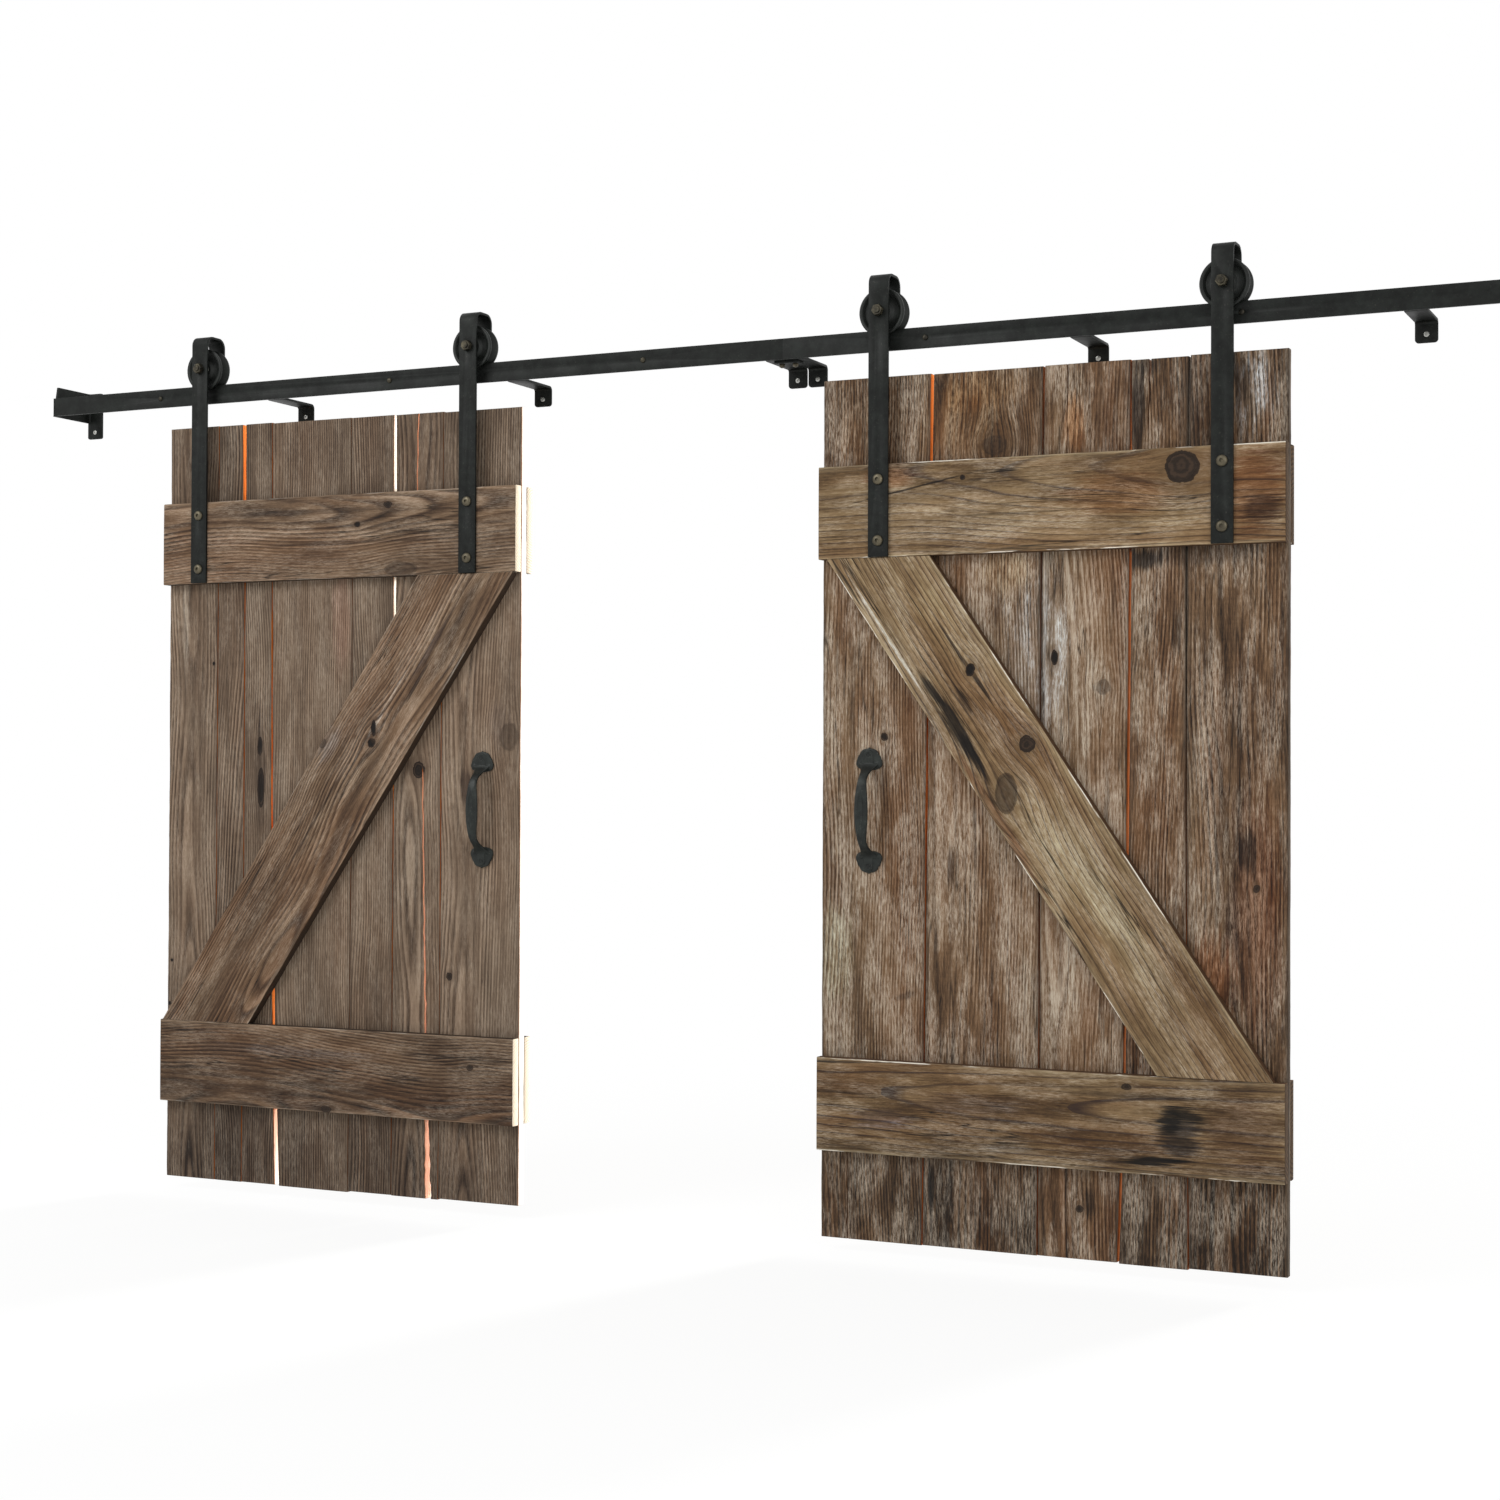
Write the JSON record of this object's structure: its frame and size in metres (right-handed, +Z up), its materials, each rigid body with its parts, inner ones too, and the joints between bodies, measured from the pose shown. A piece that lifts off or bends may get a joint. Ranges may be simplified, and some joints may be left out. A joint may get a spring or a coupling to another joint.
{
  "type": "sliding barn doors",
  "caption": "Pair of ledged and braced plank doors hung by strap hangers and grooved wheels from a wall-mounted flat-bar rail, with end stops and pull handles.",
  "frame": {"origin": "midway between the two wall-fixing holes at the rail joint, in the wall plane", "axes": "+X along the rail to the right as seen from the room, +Y into the wall, +Z up"},
  "size_m": [4.53, 0.2115, 2.288],
  "materials": {
    "weathered_boards": "weathered, matt",
    "batten_boards": "weathered, matt",
    "cast_handle": "satin black",
    "wheel_steel": "satin black",
    "bearing_steel": "turned",
    "bolt_steel": "dull plated",
    "blackened_steel": "satin black"
  },
  "bodies": {
    "track": {"end_stop_left": "blackened_steel", "end_stop_right": "blackened_steel", "joint_bolts": "bolt_steel", "joint_plate": "blackened_steel", "rail_bolts": "bolt_steel", "rail_left": "blackened_steel", "rail_right": "blackened_steel", "wall_bracket_joint_left": "blackened_steel", "wall_bracket_joint_right": "blackened_steel", "wall_bracket_left_inner": "blackened_steel", "wall_bracket_left_outer": "blackened_steel", "wall_bracket_right_inner": "blackened_steel", "wall_bracket_right_outer": "blackened_steel"},
    "left_wheel_outer_turning": {"left_wheel_outer": "wheel_steel", "left_bearing_outer": "bearing_steel"},
    "left_wheel_inner_turning": {"left_wheel_inner": "wheel_steel", "left_bearing_inner": "bearing_steel"},
    "left_door": {"left_axle_bolts": "bolt_steel", "left_axle_spacers": "bolt_steel", "left_back_batten_bottom": "batten_boards", "left_back_batten_top": "batten_boards", "left_brace": "batten_boards", "left_front_batten_bottom": "batten_boards", "left_front_batten_top": "batten_boards", "left_handle": "cast_handle", "left_handle_screws": "bolt_steel", "left_hanger_inner": "blackened_steel", "left_hanger_outer": "blackened_steel", "left_nuts_and_washers": "bolt_steel", "left_plank_1": "weathered_boards", "left_plank_2": "weathered_boards", "left_plank_3": "weathered_boards", "left_plank_4": "weathered_boards", "left_plank_5": "weathered_boards", "left_plank_6": "weathered_boards", "left_plank_7": "weathered_boards", "left_strap_bolts": "bolt_steel"},
    "right_wheel_outer_turning": {"right_wheel_outer": "wheel_steel", "right_bearing_outer": "bearing_steel"},
    "right_wheel_inner_turning": {"right_wheel_inner": "wheel_steel", "right_bearing_inner": "bearing_steel"},
    "right_door": {"right_axle_bolts": "bolt_steel", "right_axle_spacers": "bolt_steel", "right_back_batten_bottom": "batten_boards", "right_back_batten_top": "batten_boards", "right_brace": "batten_boards", "right_front_batten_bottom": "batten_boards", "right_front_batten_top": "batten_boards", "right_handle": "cast_handle", "right_handle_screws": "bolt_steel", "right_hanger_inner": "blackened_steel", "right_hanger_outer": "blackened_steel", "right_nuts_and_washers": "bolt_steel", "right_plank_1": "weathered_boards", "right_plank_2": "weathered_boards", "right_plank_3": "weathered_boards", "right_plank_4": "weathered_boards", "right_plank_5": "weathered_boards", "right_strap_bolts": "bolt_steel"}
  },
  "joints": [
    {"name": "left_door_slide", "type": "slide", "parent": "track", "child": "left_door", "axis": [1, 0, 0], "range_m": [-0.48, 0.7265]},
    {"name": "left_outer_wheel_spin", "type": "hinge", "parent": "left_door", "child": "left_wheel_outer_turning", "pos_m": [-1.721, -0.154, 0.1178], "axis": [0, 1, 0], "range_deg": [-682, 1030]},
    {"name": "left_inner_wheel_spin", "type": "hinge", "parent": "left_door", "child": "left_wheel_inner_turning", "pos_m": [-0.87, -0.154, 0.1178], "axis": [0, 1, 0], "range_deg": [-682, 1030]},
    {"name": "right_door_slide", "type": "slide", "parent": "track", "child": "right_door", "axis": [1, 0, 0], "range_m": [-0.1055, 1.117]},
    {"name": "right_outer_wheel_spin", "type": "hinge", "parent": "right_door", "child": "right_wheel_outer_turning", "pos_m": [1.084, -0.154, 0.1178], "axis": [0, 1, 0], "range_deg": [-152, 1583]},
    {"name": "right_inner_wheel_spin", "type": "hinge", "parent": "right_door", "child": "right_wheel_inner_turning", "pos_m": [0.264, -0.154, 0.1178], "axis": [0, 1, 0], "range_deg": [-152, 1583]}
  ],
  "couplings": [
    {"joint": "left_outer_wheel_spin", "follows": "left_door_slide", "rad_per_m": 24.691},
    {"joint": "left_inner_wheel_spin", "follows": "left_door_slide", "rad_per_m": 24.691},
    {"joint": "right_outer_wheel_spin", "follows": "right_door_slide", "rad_per_m": 24.691},
    {"joint": "right_inner_wheel_spin", "follows": "right_door_slide", "rad_per_m": 24.691}
  ]
}
